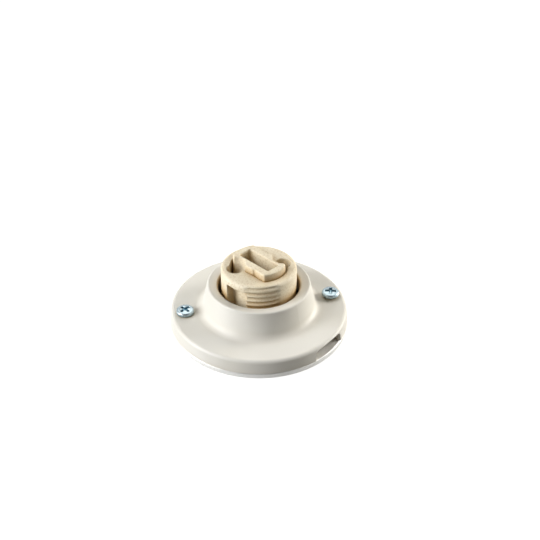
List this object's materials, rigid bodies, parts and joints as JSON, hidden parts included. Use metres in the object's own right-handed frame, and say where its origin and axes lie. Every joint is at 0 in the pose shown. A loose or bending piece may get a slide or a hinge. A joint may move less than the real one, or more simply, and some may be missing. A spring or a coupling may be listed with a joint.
{
  "type": "lamp holder",
  "caption": "Ceramic two-pin capsule lamp holder: steatite socket with a part thread, standing in the collar of a round glazed porcelain rosette on a steel base plate.",
  "frame": {"origin": "centre of the base plate's mounting face", "axes": "+Z out of the wall or ceiling, towards the lamp; +X along the lamp slot"},
  "size_m": [0.0676, 0.0676, 0.0274],
  "materials": {
    "porcelain_glaze": "white glazed porcelain with a slight orange-peel",
    "steatite": "unglazed beige steatite",
    "zinc_bright": "bright blue-passivated zinc plate on steel",
    "zinc_plate": "zinc-plated steel",
    "brass": "turned brass",
    "contact_metal": "nickel-plated spring strip",
    "fibre": "grey-brown vulcanised fibre"
  },
  "bodies": {
    "root": {"base_plate": "zinc_plate", "cover": "porcelain_glaze", "press_nut_left": "zinc_plate", "press_nut_right": "zinc_plate", "cover_screw_left": "zinc_bright", "cover_screw_right": "zinc_bright", "socket_shell": "steatite", "socket_core": "steatite", "socket_screw_front": "zinc_plate", "socket_screw_rear": "zinc_plate", "contact_spring_left": "contact_metal", "contact_spring_right": "contact_metal", "terminal_left": "brass", "terminal_right": "brass", "terminal_screw_left": "zinc_plate", "terminal_screw_right": "zinc_plate", "socket_bracket": "zinc_plate", "bracket_rivet_left": "zinc_plate", "bracket_rivet_right": "zinc_plate", "insulating_disc": "fibre", "earth_washer": "zinc_plate", "earth_screw": "zinc_plate"}
  },
  "joints": []
}
